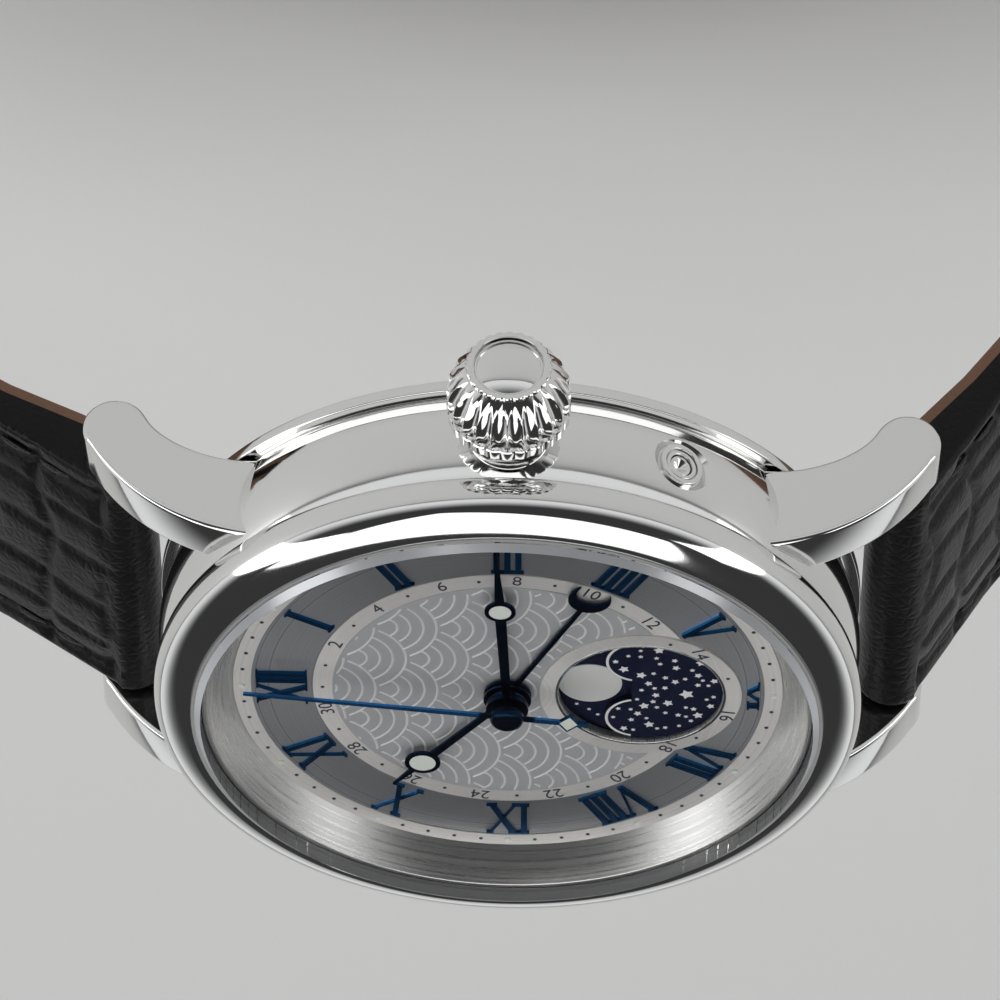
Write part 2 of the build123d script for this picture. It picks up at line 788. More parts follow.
# Moon disc with two moons, turning below the dial
moon_disc_radius = 5.2
moon_disc_thickness = 0.15
moon_disc_gap = 0.1
moon_orbit = 2.86
moon_radius = 1.8
moon_thickness = 0.04
moon_angle = 2
moon_disc_level = dial_bottom - moon_disc_gap - moon_disc_thickness - moon_thickness
with BuildPart() as moon_disc:
    with BuildSketch(Plane.XY.offset(moon_disc_level)):
        with Locations((0, moon_centre_y)):
            Circle(moon_disc_radius)
    extrude(amount=moon_disc_thickness)
    with BuildSketch(Plane.XY.offset(moon_disc_level)):
        with Locations((0, moon_centre_y)):
            Circle(moon_shaft_radius)
    extrude(amount=-(moon_disc_level - plate_top + arbor_seat_depth - running_clearance))
moon_disc.part.label = "moon_disc"
export_step(moon_disc.part, "parts/moon_disc.step")

moon_turn = math.radians(moon_angle)
moon_shift = (moon_orbit * math.sin(moon_turn), moon_orbit * math.cos(moon_turn))
with BuildPart() as moons:
    with BuildSketch(Plane.XY.offset(moon_disc_level + moon_disc_thickness)):
        with Locations(
            (moon_shift[0], moon_centre_y + moon_shift[1]),
            (-moon_shift[0], moon_centre_y - moon_shift[1]),
        ):
            Circle(moon_radius)
    extrude(amount=moon_thickness)
moons.part.label = "moons"
export_step(moons.part, "parts/moons.step")

# Dial plate with the moon window, and the rings and marks on it
dial_radius = 16.9
moon_window_radius = 4.66
moon_ring_radius = 5.7
moon_ring_height = 0.18
disc_height = 0.1
ring_height = 0.05
centre_disc_radius = 9.9
date_ring_radius = 11.0
track_inner_radius = 14.5
track_outer_radius = 15.5
with BuildPart() as dial_plate:
    with BuildSketch(Plane.XY.offset(dial_bottom)):
        Circle(dial_radius)
        Circle(dial_hole_radius, mode=Mode.SUBTRACT)
        with Locations((0, moon_centre_y)):
            Circle(moon_window_radius, mode=Mode.SUBTRACT)
    extrude(amount=dial_thickness)
dial_plate.part.label = "dial_plate"
export_step(dial_plate.part, "parts/dial_plate.step")

with BuildPart() as centre_disc:
    with BuildSketch(Plane.XY.offset(dial_level)):
        Circle(centre_disc_radius)
        Circle(dial_hole_radius, mode=Mode.SUBTRACT)
        with Locations((0, moon_centre_y)):
            Circle(moon_ring_radius, mode=Mode.SUBTRACT)
    extrude(amount=disc_height)
centre_disc.part.label = "centre_disc"
export_step(centre_disc.part, "parts/centre_disc.step")

with BuildPart() as date_ring:
    with BuildSketch(Plane.XY.offset(dial_level)):
        Circle(date_ring_radius)
        Circle(centre_disc_radius, mode=Mode.SUBTRACT)
        with Locations((0, moon_centre_y)):
            Circle(moon_ring_radius, mode=Mode.SUBTRACT)
    extrude(amount=ring_height)
date_ring.part.label = "date_ring"
export_step(date_ring.part, "parts/date_ring.step")

with BuildPart() as minute_track:
    with BuildSketch(Plane.XY.offset(dial_level)):
        Circle(track_outer_radius)
        Circle(track_inner_radius, mode=Mode.SUBTRACT)
    extrude(amount=ring_height)
minute_track.part.label = "minute_track"
export_step(minute_track.part, "parts/minute_track.step")

with BuildPart() as moon_ring:
    with BuildSketch(Plane.XY.offset(dial_level)):
        with Locations((0, moon_centre_y)):
            Circle(moon_ring_radius)
            Circle(moon_window_radius, mode=Mode.SUBTRACT)
    extrude(amount=moon_ring_height)
moon_ring.part.label = "moon_ring"
export_step(moon_ring.part, "parts/moon_ring.step")

# Moon mask: night-sky plate over the half of the window toward 6 o'clock, with two humps
mask_hump_radius = 1.85
mask_hump_reach = 2.7
mask_edge_lift = 0.5
mask_hump_lift = 0.15
mask_thickness = 0.25
mask_edge = moon_centre_y + mask_edge_lift
mask_hump_y = moon_centre_y + mask_hump_lift
with BuildPart() as moon_mask:
    with BuildSketch(Plane.XY.offset(dial_bottom)):
        with Locations((0, moon_centre_y)):
            Circle(moon_window_radius)
        with Locations((0, mask_edge)):
            Rectangle(
                2 * moon_window_radius,
                moon_window_radius,
                align=(Align.CENTER, Align.MIN),
                mode=Mode.SUBTRACT,
            )
        with Locations((-mask_hump_reach, mask_hump_y), (mask_hump_reach, mask_hump_y)):
            Circle(mask_hump_radius)
        with Locations((0, moon_centre_y)):
            Circle(moon_window_radius, mode=Mode.INTERSECT)
    extrude(amount=mask_thickness)
moon_mask.part.label = "moon_mask"
export_step(moon_mask.part, "parts/moon_mask.step")

# Applied Roman numerals, feet to the centre, and a dot for each minute
numeral_outer = 14.2
numeral_inner = 11.3
numeral_height = 0.18
numeral_heavy = 0.34
numeral_light = 0.13
numeral_serif = 0.12
serif_overhang = 0.14
numeral_space = 0.26
letter_spread = 0.8
six_inner = 13.5
numerals = ("XII", "I", "II", "III", "IIII", "V", "VI", "VII", "VIII", "IX", "X", "XI")


def letter_width(letter):
    """Width of a numeral's letter without its serifs."""
    return numeral_heavy if letter == "I" else 2 * letter_spread


def slanted(x_foot, x_head, foot, head, width):
    """Leaning stroke of a V or an X, as a four-cornered face."""
    half = width / 2
    Polygon(
        (x_foot - half, foot),
        (x_foot + half, foot),
        (x_head + half, head),
        (x_head - half, head),
        align=None,
    )


def serif(x_middle, width, level, up):
    """Short bar across the end of a stroke."""
    low = level if up else level - numeral_serif
    with Locations((x_middle, low)):
        Rectangle(
            width + 2 * serif_overhang, numeral_serif, align=(Align.CENTER, Align.MIN)
        )


def letter(sign, x_middle, foot, head):
    """One letter of a numeral between two radii."""
    heavy_shift = letter_spread - numeral_heavy / 2
    light_shift = letter_spread - numeral_light / 2
    if sign == "I":
        slanted(x_middle, x_middle, foot, head, numeral_heavy)
        serif(x_middle, numeral_heavy, foot, True)
        serif(x_middle, numeral_heavy, head, False)
    if sign == "V":
        slanted(x_middle, x_middle - heavy_shift, foot, head, numeral_heavy)
        slanted(x_middle, x_middle + light_shift, foot, head, numeral_light)
        serif(x_middle - heavy_shift, numeral_heavy, head, False)
        serif(x_middle + light_shift, numeral_light, head, False)
    if sign == "X":
        slanted(x_middle + heavy_shift, x_middle - heavy_shift, foot, head, numeral_heavy)
        slanted(x_middle - light_shift, x_middle + light_shift, foot, head, numeral_light)
        for level, up in ((foot, True), (head, False)):
            mirror_side = 1 if up else -1
            serif(x_middle + mirror_side * heavy_shift, numeral_heavy, level, up)
            serif(x_middle - mirror_side * light_shift, numeral_light, level, up)


with BuildPart() as hour_markers:
    for hour, text in enumerate(numerals):
        foot = six_inner if text == "VI" else numeral_inner
        total = sum(letter_width(sign) + numeral_space for sign in text) - numeral_space
        cursor = -total / 2
        with BuildSketch(clock_plane(hour * 30, dial_level)):
            for sign in text:
                letter(sign, cursor + letter_width(sign) / 2, foot, numeral_outer)
                cursor += letter_width(sign) + numeral_space
        extrude(amount=numeral_height)
hour_markers.part.label = "hour_markers"
export_step(hour_markers.part, "parts/hour_markers.step")

minute_dot_radius = 0.11
hour_dot_radius = 0.2
dot_height = 0.03
track_middle = (track_inner_radius + track_outer_radius) / 2
with BuildPart() as minute_dots:
    with BuildSketch(Plane.XY.offset(dial_level + ring_height)):
        with PolarLocations(track_middle, 60):
            Circle(minute_dot_radius)
        with PolarLocations(track_middle, 12):
            Circle(hour_dot_radius)
    extrude(amount=dot_height)
minute_dots.part.label = "minute_dots"
export_step(minute_dots.part, "parts/minute_dots.step")

# Flange ring: brushed conical ring between the dial's edge and the crystal
flange_top_width = 0.25
flange_gap = 0.05
with BuildPart() as flange_ring:
    with BuildSketch(Plane.XZ):
        with BuildLine():
            Polyline(
                (track_outer_radius, dial_level),
                (ring_radius, dial_level),
                (ring_radius, crystal_ledge - flange_gap),
                (ring_radius - flange_top_width, crystal_ledge - flange_gap),
                close=True,
            )
        make_face()
    revolve(axis=Axis.Z)
flange_ring.part.label = "flange_ring"
export_step(flange_ring.part, "parts/flange_ring.step")

# Hands
hour_hand_angle = 307.3
minute_hand_angle = 87.5
seconds_hand_angle = 7
date_hand_angle = 116
hour_hand_length = 10.8
hour_ring_reach = 8.0
hour_ring_radius = 1.02
hour_lume_radius = 0.75
minute_hand_length = 14.5
minute_ring_reach = 8.85
minute_ring_radius = 0.87
minute_lume_radius = 0.62
hand_hub_radius = 1.35
minute_hub_radius = 1.15
hour_root_half = 0.19
hour_ring_half = 0.25
minute_root_half = 0.24
minute_ring_half = 0.32
hand_tip_half = 0.05


def pomme_hand(length, root_half, ring_half, ring_reach, ring_radius, hole_radius, hub_radius, bore):
    """Outline of a slim hand with a pierced ring, drawn in the current sketch."""
    Circle(hub_radius)
    Polygon(
        (-root_half, 0),
        (root_half, 0),
        (ring_half, ring_reach),
        (-ring_half, ring_reach),
        align=None,
    )
    Polygon(
        (-ring_half, ring_reach),
        (ring_half, ring_reach),
        (hand_tip_half, length),
        (-hand_tip_half, length),
        align=None,
    )
    with Locations((0, ring_reach)):
        Circle(ring_radius)
        Circle(hole_radius, mode=Mode.SUBTRACT)
    Circle(bore, mode=Mode.SUBTRACT)


with BuildPart() as hour_hand:
    with BuildSketch(clock_plane(hour_hand_angle, hour_hand_level)):
        pomme_hand(
            hour_hand_length,
            hour_root_half,
            hour_ring_half,
            hour_ring_reach,
            hour_ring_radius,
            hour_lume_radius,
            hand_hub_radius,
            hour_pipe_radius,
        )
    extrude(amount=hand_thickness)
hour_hand.part.label = "hour_hand"
export_step(hour_hand.part, "parts/hour_hand.step")

with BuildPart() as hour_lume:
    with BuildSketch(clock_plane(hour_hand_angle, hour_hand_level, hour_ring_reach)):
        Circle(hour_lume_radius)
    extrude(amount=hand_thickness)
hour_lume.part.label = "hour_lume"
export_step(hour_lume.part, "parts/hour_lume.step")

with BuildPart() as minute_hand:
    with BuildSketch(clock_plane(minute_hand_angle, minute_hand_level)):
        pomme_hand(
            minute_hand_length,
            minute_root_half,
            minute_ring_half,
            minute_ring_reach,
            minute_ring_radius,
            minute_lume_radius,
            minute_hub_radius,
            cannon_radius,
        )
    extrude(amount=hand_thickness)
minute_hand.part.label = "minute_hand"
export_step(minute_hand.part, "parts/minute_hand.step")

with BuildPart() as minute_lume:
    with BuildSketch(clock_plane(minute_hand_angle, minute_hand_level, minute_ring_reach)):
        Circle(minute_lume_radius)
    extrude(amount=hand_thickness)
minute_lume.part.label = "minute_lume"
export_step(minute_lume.part, "parts/minute_lume.step")

# Seconds hand: a needle with a diamond frame on its tail, and a domed cap on its hub
seconds_length = 14.9
seconds_tail = 4.6
needle_half = 0.2
needle_tip_half = 0.1
diamond_reach = 3.5
diamond_half_width = 0.8
diamond_half_length = 0.67
diamond_wall = 0.16
seconds_hub_radius = 0.95
seconds_cap_height = 0.35
seconds_collar_radius = 1.2
seconds_collar_height = 0.3
seconds_post_radius = 0.8
seconds_post_length = seconds_hand_lift - hand_thickness - 2 * running_clearance
lume_half_width = diamond_half_width - diamond_wall
lume_half_length = diamond_half_length - diamond_wall


def diamond(half_width, half_length, mode=Mode.ADD):
    """Four-cornered figure on the seconds hand's tail."""
    Polygon(
        (0, -diamond_reach - half_length),
        (half_width, -diamond_reach),
        (0, -diamond_reach + half_length),
        (-half_width, -diamond_reach),
        align=None,
        mode=mode,
    )


with BuildPart() as seconds_hand:
    with BuildSketch(clock_plane(seconds_hand_angle, seconds_hand_level)):
        Circle(seconds_hub_radius)
        Polygon(
            (-needle_half, -seconds_tail),
            (needle_half, -seconds_tail),
            (needle_tip_half, seconds_length),
            (-needle_tip_half, seconds_length),
            align=None,
        )
        diamond(diamond_half_width, diamond_half_length)
        diamond(lume_half_width, lume_half_length, Mode.SUBTRACT)
    extrude(amount=hand_thickness)
    with BuildSketch(Plane.XY.offset(seconds_hand_level + hand_thickness)):
        Circle(seconds_hub_radius)
    extrude(amount=seconds_cap_height)
    fillet(seconds_hand.edges().group_by(Axis.Z)[-1], radius=seconds_cap_height * 0.8)
    with BuildSketch(Plane.XY.offset(seconds_hand_level)):
        Circle(seconds_post_radius)
    extrude(amount=-seconds_post_length)
    with BuildSketch(Plane.XY.offset(seconds_hand_level - seconds_post_length)):
        Circle(seconds_collar_radius)
    extrude(amount=seconds_collar_height)
    with BuildSketch(Plane.XY.offset(seconds_hand_level - seconds_post_length)):
        Circle(seconds_arbor_radius)
    extrude(amount=seconds_post_length + hand_thickness, mode=Mode.SUBTRACT)
seconds_hand.part.label = "seconds_hand"
export_step(seconds_hand.part, "parts/seconds_hand.step")

with BuildPart() as seconds_lume:
    with BuildSketch(clock_plane(seconds_hand_angle, seconds_hand_level)):
        diamond(lume_half_width, lume_half_length)
    extrude(amount=hand_thickness)
seconds_lume.part.label = "seconds_lume"
export_step(seconds_lume.part, "parts/seconds_lume.step")

with BuildPart() as seconds_arbor:
    with BuildSketch(Plane.XY.offset(plate_level + arbor_seat_depth)):
        Circle(seconds_arbor_radius)
    extrude(amount=seconds_hand_level + hand_thickness - plate_level - arbor_seat_depth)
seconds_arbor.part.label = "seconds_arbor"
export_step(seconds_arbor.part, "parts/seconds_arbor.step")

# Date hand: a thin shaft with a crescent that frames a number of the date ring
date_shaft_half = 0.14
crescent_reach = 10.4
crescent_radius = 1.2
crescent_hole_radius = 0.95
crescent_hole_shift = 0.5
with BuildPart() as date_hand:
    with BuildSketch(clock_plane(date_hand_angle, date_hand_level)):
        with Locations((0, crescent_reach)):
            Circle(crescent_radius)
        with Locations((0, crescent_reach + crescent_hole_shift)):
            Circle(crescent_hole_radius, mode=Mode.SUBTRACT)
        with Locations((0, 0)):
            Rectangle(
                2 * date_shaft_half,
                crescent_reach - crescent_radius + crescent_hole_shift / 2,
                align=(Align.CENTER, Align.MIN),
            )
            Circle(hand_hub_radius)
            Circle(date_pipe_radius, mode=Mode.SUBTRACT)
    extrude(amount=hand_thickness)
date_hand.part.label = "date_hand"
export_step(date_hand.part, "parts/date_hand.step")

# Crown tube, pressed in the band
with BuildPart() as crown_tube:
    with BuildSketch(Plane.YZ.offset(ring_radius + sliding_clearance)):
        with Locations((0, crown_axis_level)):
            Circle(tube_radius)
            Circle(stem_hole_radius, mode=Mode.SUBTRACT)
    extrude(amount=crown_tube_end - ring_radius - sliding_clearance)
crown_tube.part.label = "crown_tube"
export_step(crown_tube.part, "parts/crown_tube.step")

# Winding stem, screwed in the crown
stem_thread_length = 0.9
crown_tube_end_gap = 0.2
crown_bore_end = crown_tube_end + crown_tube_end_gap
with BuildPart() as winding_stem:
    with BuildSketch(Plane.YZ.offset(stem_inner_end)):
        with Locations((0, crown_axis_level)):
            Circle(stem_radius)
    extrude(amount=crown_bore_end + stem_thread_length - stem_inner_end)
winding_stem.part.label = "winding_stem"
export_step(winding_stem.part, "parts/winding_stem.step")

# Crown: a boss, a grip ring, an onion body with leaf-shaped flutes and a scalloped collar
crown_boss_radius = 2.3
crown_boss_length = 1.0
crown_grip_radius = 3.38
crown_grip_length = 1.2
crown_body_radius = 3.3
crown_body_length = 3.05
crown_neck_radius = 2.25
crown_body_bulge = 0.43
crown_collar_radius = 2.33
crown_collar_length = 0.3
crown_recess_radius = 1.93
crown_grip_start = crown_base + crown_boss_length
crown_body_start = crown_grip_start + crown_grip_length
crown_neck = crown_body_start + crown_body_length
crown_collar_end = crown_neck + crown_collar_length
crown_gasket_width = 0.3
crown_flute_count = 24
crown_flute_radius = 0.4
crown_flute_depth = 0.13
crown_flute_start_share = 0.06
crown_scallop_radius = 0.2
crown_scallop_depth = 0.1
crown_bore_radius = tube_radius + sliding_clearance + crown_gasket_width
crown_axis = Axis((0, 0, crown_axis_level), (1, 0, 0))
crown_plane = Plane(origin=(0, 0, crown_axis_level), x_dir=(1, 0, 0), z_dir=(0, -1, 0))


def crown_curve_point(share, lift=0):
    """Point of the onion body's curve at a share of its length, with a lift off the curve."""
    drop = crown_body_radius - crown_neck_radius
    curve = crown_body_bulge * 4 * share * (1 - share)
    slope = math.atan2(drop - crown_body_bulge * 4 * (1 - 2 * share), crown_body_length)
    return (
        crown_body_start + share * crown_body_length + lift * math.sin(slope),
        crown_body_radius - share * drop + curve + lift * math.cos(slope),
    )


with BuildPart() as flute_cutter:
    with BuildLine(crown_plane):
        flute_path = ThreePointArc(
            crown_curve_point(crown_flute_start_share, crown_flute_radius),
            crown_curve_point(1 / 2, crown_flute_radius - crown_flute_depth),
            crown_curve_point(1, crown_flute_radius - crown_flute_depth / 2),
        )
    with BuildSketch(Plane(origin=flute_path @ 0, z_dir=flute_path % 0)):
        Circle(crown_flute_radius)
    sweep(path=flute_path)

with BuildPart() as crown:
    with BuildSketch(crown_plane):
        with BuildLine():
            Polyline(
                (crown_base, crown_bore_radius),
                (crown_base, crown_boss_radius),
                (crown_grip_start, crown_boss_radius),
                (crown_grip_start, crown_grip_radius),
                (crown_body_start, crown_grip_radius),
                (crown_body_start, crown_body_radius),
            )
            ThreePointArc(
                (crown_body_start, crown_body_radius),
                crown_curve_point(1 / 2),
                (crown_neck, crown_neck_radius),
            )
            Polyline(
                (crown_neck, crown_neck_radius),
                (crown_neck, crown_collar_radius),
                (crown_collar_end, crown_collar_radius),
                (crown_collar_end, crown_recess_radius),
                (crown_neck, crown_recess_radius),
                (crown_neck, 0),
                (crown_bore_end + stem_thread_length, 0),
                (crown_bore_end + stem_thread_length, stem_radius),
                (crown_bore_end, stem_radius),
                (crown_bore_end, crown_bore_radius),
                (crown_base, crown_bore_radius),
            )
        make_face()
    revolve(axis=crown_axis)
    for flute in range(crown_flute_count):
        flute_turn = 360 * (flute + 1 / 2) / crown_flute_count
        add(flute_cutter.part.rotate(crown_axis, flute_turn), mode=Mode.SUBTRACT)
    with BuildSketch(Plane.YZ.offset(crown_neck)):
        with Locations((0, crown_axis_level)):
            with PolarLocations(
                crown_collar_radius + crown_scallop_radius - crown_scallop_depth,
                crown_flute_count,
                start_angle=180 / crown_flute_count,
            ):
                Circle(crown_scallop_radius)
    extrude(amount=crown_collar_length, mode=Mode.SUBTRACT)
crown.part.label = "crown"
export_step(crown.part, "parts/crown.step")

crown_cap_radius = 1.88
crown_cap_height = 0.6
with BuildPart() as crown_cap:
    with BuildSketch(crown_plane):
        with BuildLine():
            Line((crown_neck, 0), (crown_neck, crown_cap_radius))
            ThreePointArc(
                (crown_neck, crown_cap_radius),
                (
                    crown_neck
                    + dome_rise(crown_cap_radius, crown_cap_height, crown_cap_radius / 2),
                    crown_cap_radius / 2,
                ),
                (crown_neck + crown_cap_height, 0),
            )
            Line((crown_neck + crown_cap_height, 0), (crown_neck, 0))
        make_face()
    revolve(axis=crown_axis)
crown_cap.part.label = "crown_cap"
export_step(crown_cap.part, "parts/crown_cap.step")

crown_gasket_length = 0.4
with BuildPart() as crown_gasket:
    with BuildSketch(Plane.YZ.offset(crown_base)):
        with Locations((0, crown_axis_level)):
            Circle(crown_bore_radius)
            Circle(tube_radius + sliding_clearance, mode=Mode.SUBTRACT)
    extrude(amount=crown_gasket_length)
crown_gasket.part.label = "crown_gasket"
export_step(crown_gasket.part, "parts/crown_gasket.step")

# Corrector: recessed button in its bush, on a coil spring in the movement ring's pocket
button_travel = 0.5
button_recess = 0.1
dimple_radius = 0.475
dimple_depth = 0.3
button_flange_height = 0.3
corrector_wire = 0.14
corrector_spring_turns = 3
corrector_spring_radius = 0.55
bush_inner_end = ring_radius + sliding_clearance
bush_outer_end = socket_floor + corrector_socket_depth / 3
button_outer_end = bush_outer_end - button_recess
flange_outer = bush_inner_end - running_clearance
flange_inner = flange_outer - button_flange_height
with BuildPart() as corrector_tube:
    with BuildSketch(radial_plane(corrector_angle, crown_axis_level, bush_inner_end)):
        Circle(corrector_bush_radius)
        Circle(corrector_button_radius - running_clearance, mode=Mode.SUBTRACT)
    extrude(amount=bush_outer_end - bush_inner_end)
corrector_tube.part.label = "corrector_tube"
export_step(corrector_tube.part, "parts/corrector_tube.step")

with BuildPart() as corrector_button:
    with BuildSketch(radial_plane(corrector_angle, crown_axis_level, flange_inner)):
        Circle(corrector_flange_radius)
    extrude(amount=button_flange_height)
    with BuildSketch(radial_plane(corrector_angle, crown_axis_level, flange_inner)):
        Circle(corrector_button_radius - 2 * running_clearance)
    extrude(amount=button_outer_end - flange_inner)
    with BuildSketch(radial_plane(corrector_angle, crown_axis_level, button_outer_end)):
        Circle(dimple_radius)
    extrude(amount=-dimple_depth, taper=45, mode=Mode.SUBTRACT)
corrector_button.part.label = "corrector_button"
export_step(corrector_button.part, "parts/corrector_button.step")

spring_length = flange_inner - pocket_floor
spring_rise = spring_length - 2 * corrector_wire
spring_plane = radial_plane(corrector_angle, crown_axis_level, pocket_floor + corrector_wire)
with BuildPart() as corrector_spring:
    with BuildLine():
        coil = Helix(
            pitch=spring_rise / corrector_spring_turns,
            height=spring_rise,
            radius=corrector_spring_radius,
            center=spring_plane.origin,
            direction=spring_plane.z_dir,
        )
    with BuildSketch(Plane(origin=coil @ 0, z_dir=coil % 0)):
        Circle(corrector_wire / 2)
    sweep(path=coil, is_frenet=True)
corrector_spring.part.label = "corrector_spring"
export_step(corrector_spring.part, "parts/corrector_spring.step")

# Strap halves: each follows a route of straights and bends in the YZ plane, from its spring
# bar down round the wrist's place. A move is a length and a turn in degrees, of which one is 0;
# a bend's length is its radius.
strap_bore_radius = spring_bar_radius + running_clearance
bar_point = (lug_tip_reach, lug_tip_level)
down_angle = -90
route_12_angle = -30
route_12_first = 8.0
route_12_bend = 22.0
route_12_lower_bend = 15.0
route_12_lower_angle = -60
route_12_last = 6.9
route_6_angle = -55
route_6_first = 14.0
route_6_bend = 45.0
route_6_lower_bend = 19.2
buckle_thickness = 2.4
buckle_bar_radius = 0.6
buckle_length = 11.0
buckle_front_width = 2.4
tail_gap = 1.6


def walk(start, heading, moves, offset):
    """Edges of a route shifted to its left, as start, middle and end points."""
    y, z = start
    turn_so_far = heading
    edges = []
    for size, turn in moves:
        angle = math.radians(turn_so_far)
        left = (-math.sin(angle), math.cos(angle))
        if turn == 0:
            end = (y + size * math.cos(angle), z + size * math.sin(angle))
            edges.append(
                (
                    (y + offset * left[0], z + offset * left[1]),
                    None,
                    (end[0] + offset * left[0], end[1] + offset * left[1]),
                )
            )
        else:
            side = 1 if turn > 0 else -1
            centre = (y + side * size * left[0], z + side * size * left[1])
            reach = size - side * offset
            points = []
            for share in (0, 1 / 2, 1):
                spoke = angle + math.radians(turn) * share - side * math.pi / 2
                points.append(
                    (centre[0] + reach * math.cos(spoke), centre[1] + reach * math.sin(spoke))
                )
            edges.append(tuple(points))
            turn_so_far += turn
            spoke = math.radians(turn_so_far) - side * math.pi / 2
            end = (centre[0] + size * math.cos(spoke), centre[1] + size * math.sin(spoke))
        y, z = end
    return edges


def draw(edges):
    """Draw a route's edges as lines and arcs."""
    for first, middle, last in edges:
        if middle is None:
            Line(first, last)
        else:
            ThreePointArc(first, middle, last)


def flipped(edges):
    """The same edges in the other direction."""
    return [(last, middle, first) for first, middle, last in reversed(edges)]


# The 6 o'clock half comes down to the floor, which sets the buckle's level. The straight of
# the 12 o'clock half takes up what is left of the height, and the tail stops short of the buckle.
moves_6_known = (
    (route_6_first, 0),
    (route_6_bend, down_angle - route_6_angle),
    (route_6_lower_bend, down_angle),
)
floor_bend_end = walk(bar_point, route_6_angle, moves_6_known, 0)[-1][2]
buckle_bar_level = floor_bend_end[1]
floor_level = buckle_bar_level - strap_tail_padding
last_angle = down_angle + route_12_lower_angle
moves_12_known = (
    (route_12_first, 0),
    (route_12_bend, down_angle - route_12_angle),
    (0, 0),
    (route_12_lower_bend, route_12_lower_angle),
    (route_12_last, 0),
)
without_straight = walk(bar_point, route_12_angle, moves_12_known, 0)[-1][2]
route_12_straight = without_straight[1] - buckle_bar_level
moves_12 = moves_12_known[:2] + ((route_12_straight, 0),) + moves_12_known[3:]
buckle_bar_y = without_straight[0]
buckle_front_y = buckle_bar_y - buckle_length
route_6_flat = floor_bend_end[0] + buckle_front_y - buckle_front_width - tail_gap
moves_6 = moves_6_known + ((route_6_flat, 0),)
tail_end = walk(bar_point, route_6_angle, moves_6, 0)[-1][2]
straight_top = walk(bar_point, route_12_angle, moves_12, 0)[1][2]

strap_taper_top = -4.0
strap_end_slot = 2.6
strap_end_slot_length = 4.5
tail_point_length = 7.0
tail_hole_radius = 0.9
tail_hole_spacing = 5.0
tail_hole_count = 4
tail_hole_margin = 9.0
lining_shift = lining_thickness - strap_padding
tail_lining_shift = lining_thickness - strap_tail_padding
half_6_plane = Plane(origin=(0, 0, 0), x_dir=(0, -1, 0), z_dir=(-1, 0, 0))


def tapered_walk(heading, moves, start_offset, offset):
    """Shifted route whose first straight starts at the padded thickness."""
    edges = walk(bar_point, heading, moves, offset)
    start = walk(bar_point, heading, moves, start_offset)[0][0]
    return [(start, None, edges[0][2])] + edges[1:]


def nose_point(centre, heading, radius, side):
    """Point of a rounded strap end, straight on along its route."""
    turn = math.radians(heading)
    return (
        centre[0] + side * radius * math.cos(turn),
        centre[1] + side * radius * math.sin(turn),
    )


def leather_face(heading, moves, end_nose=None):
    """Side view of a strap half's leather, rounded at its spring bar."""
    outer = tapered_walk(heading, moves, strap_padding, strap_tail_padding)
    inner = tapered_walk(heading, moves, lining_shift, tail_lining_shift)
    underside = walk(bar_point, heading, moves, -strap_padding)[0][0]
    with BuildLine() as outline:
        draw(outer)
        if end_nose is None:
            Line(outer[-1][2], inner[-1][2])
        else:
            lower_end = walk(bar_point, heading, moves, -strap_tail_padding)[-1][2]
            ThreePointArc(outer[-1][2], end_nose, lower_end)
            Line(lower_end, inner[-1][2])
        draw(flipped(inner))
        Line(inner[0][0], underside)
        behind = nose_point(bar_point, heading, strap_padding, -1)
        ThreePointArc(underside, behind, outer[0][0])
    make_face(outline.edges())


def lining_face(heading, moves):
    """Side view of the lining, glued to the leather's inner side."""
    upper = tapered_walk(heading, moves, lining_shift, tail_lining_shift)
    lower = tapered_walk(heading, moves, -strap_padding, -strap_tail_padding)
    with BuildLine() as outline:
        draw(upper)
        Line(upper[-1][2], lower[-1][2])
        draw(flipped(lower))
        Line(lower[0][0], upper[0][0])
    make_face(outline.edges())


def side_taper():
    """Front view that both strap halves are cut to."""
    half = strap_width / 2
    end_half = strap_end_width / 2
    with BuildSketch(Plane.XZ) as front_view:
        Polygon(
            (half, dial_level),
            (half, strap_taper_top),
            (end_half, floor_level),
            (end_half, floor_level - cut_overrun),
            (-end_half, floor_level - cut_overrun),
            (-end_half, floor_level),
            (-half, strap_taper_top),
            (-half, dial_level),
            align=None,
        )
    extrude(front_view.sketch, amount=2 * route_6_bend, both=True, mode=Mode.INTERSECT)


buckle_nose = nose_point((buckle_bar_y, buckle_bar_level), last_angle, strap_tail_padding, 1)
with BuildPart() as strap_12:
    with BuildSketch(Plane.YZ):
        leather_face(route_12_angle, moves_12, buckle_nose)
        with Locations(bar_point):
            Circle(strap_bore_radius, mode=Mode.SUBTRACT)
        with Locations((buckle_bar_y, buckle_bar_level)):
            Circle(buckle_bar_radius + running_clearance, mode=Mode.SUBTRACT)
    extrude(amount=strap_width / 2, both=True)
    side_taper()
    with BuildSketch(Plane.YZ):
        with Locations((buckle_bar_y, buckle_bar_level)):
            Circle(strap_end_slot_length)
    extrude(amount=strap_end_slot / 2, both=True, mode=Mode.SUBTRACT)
strap_12.part.label = "strap_12"
export_step(strap_12.part, "parts/strap_12.step")

with BuildPart() as lining_12:
    with BuildSketch(Plane.YZ):
        lining_face(route_12_angle, moves_12)
    extrude(amount=strap_width / 2, both=True)
    side_taper()
    with BuildSketch(Plane.YZ):
        with Locations((buckle_bar_y, buckle_bar_level)):
            Circle(strap_end_slot_length)
    extrude(amount=strap_end_slot / 2, both=True, mode=Mode.SUBTRACT)
lining_12.part.label = "lining_12"
export_step(lining_12.part, "parts/lining_12.step")


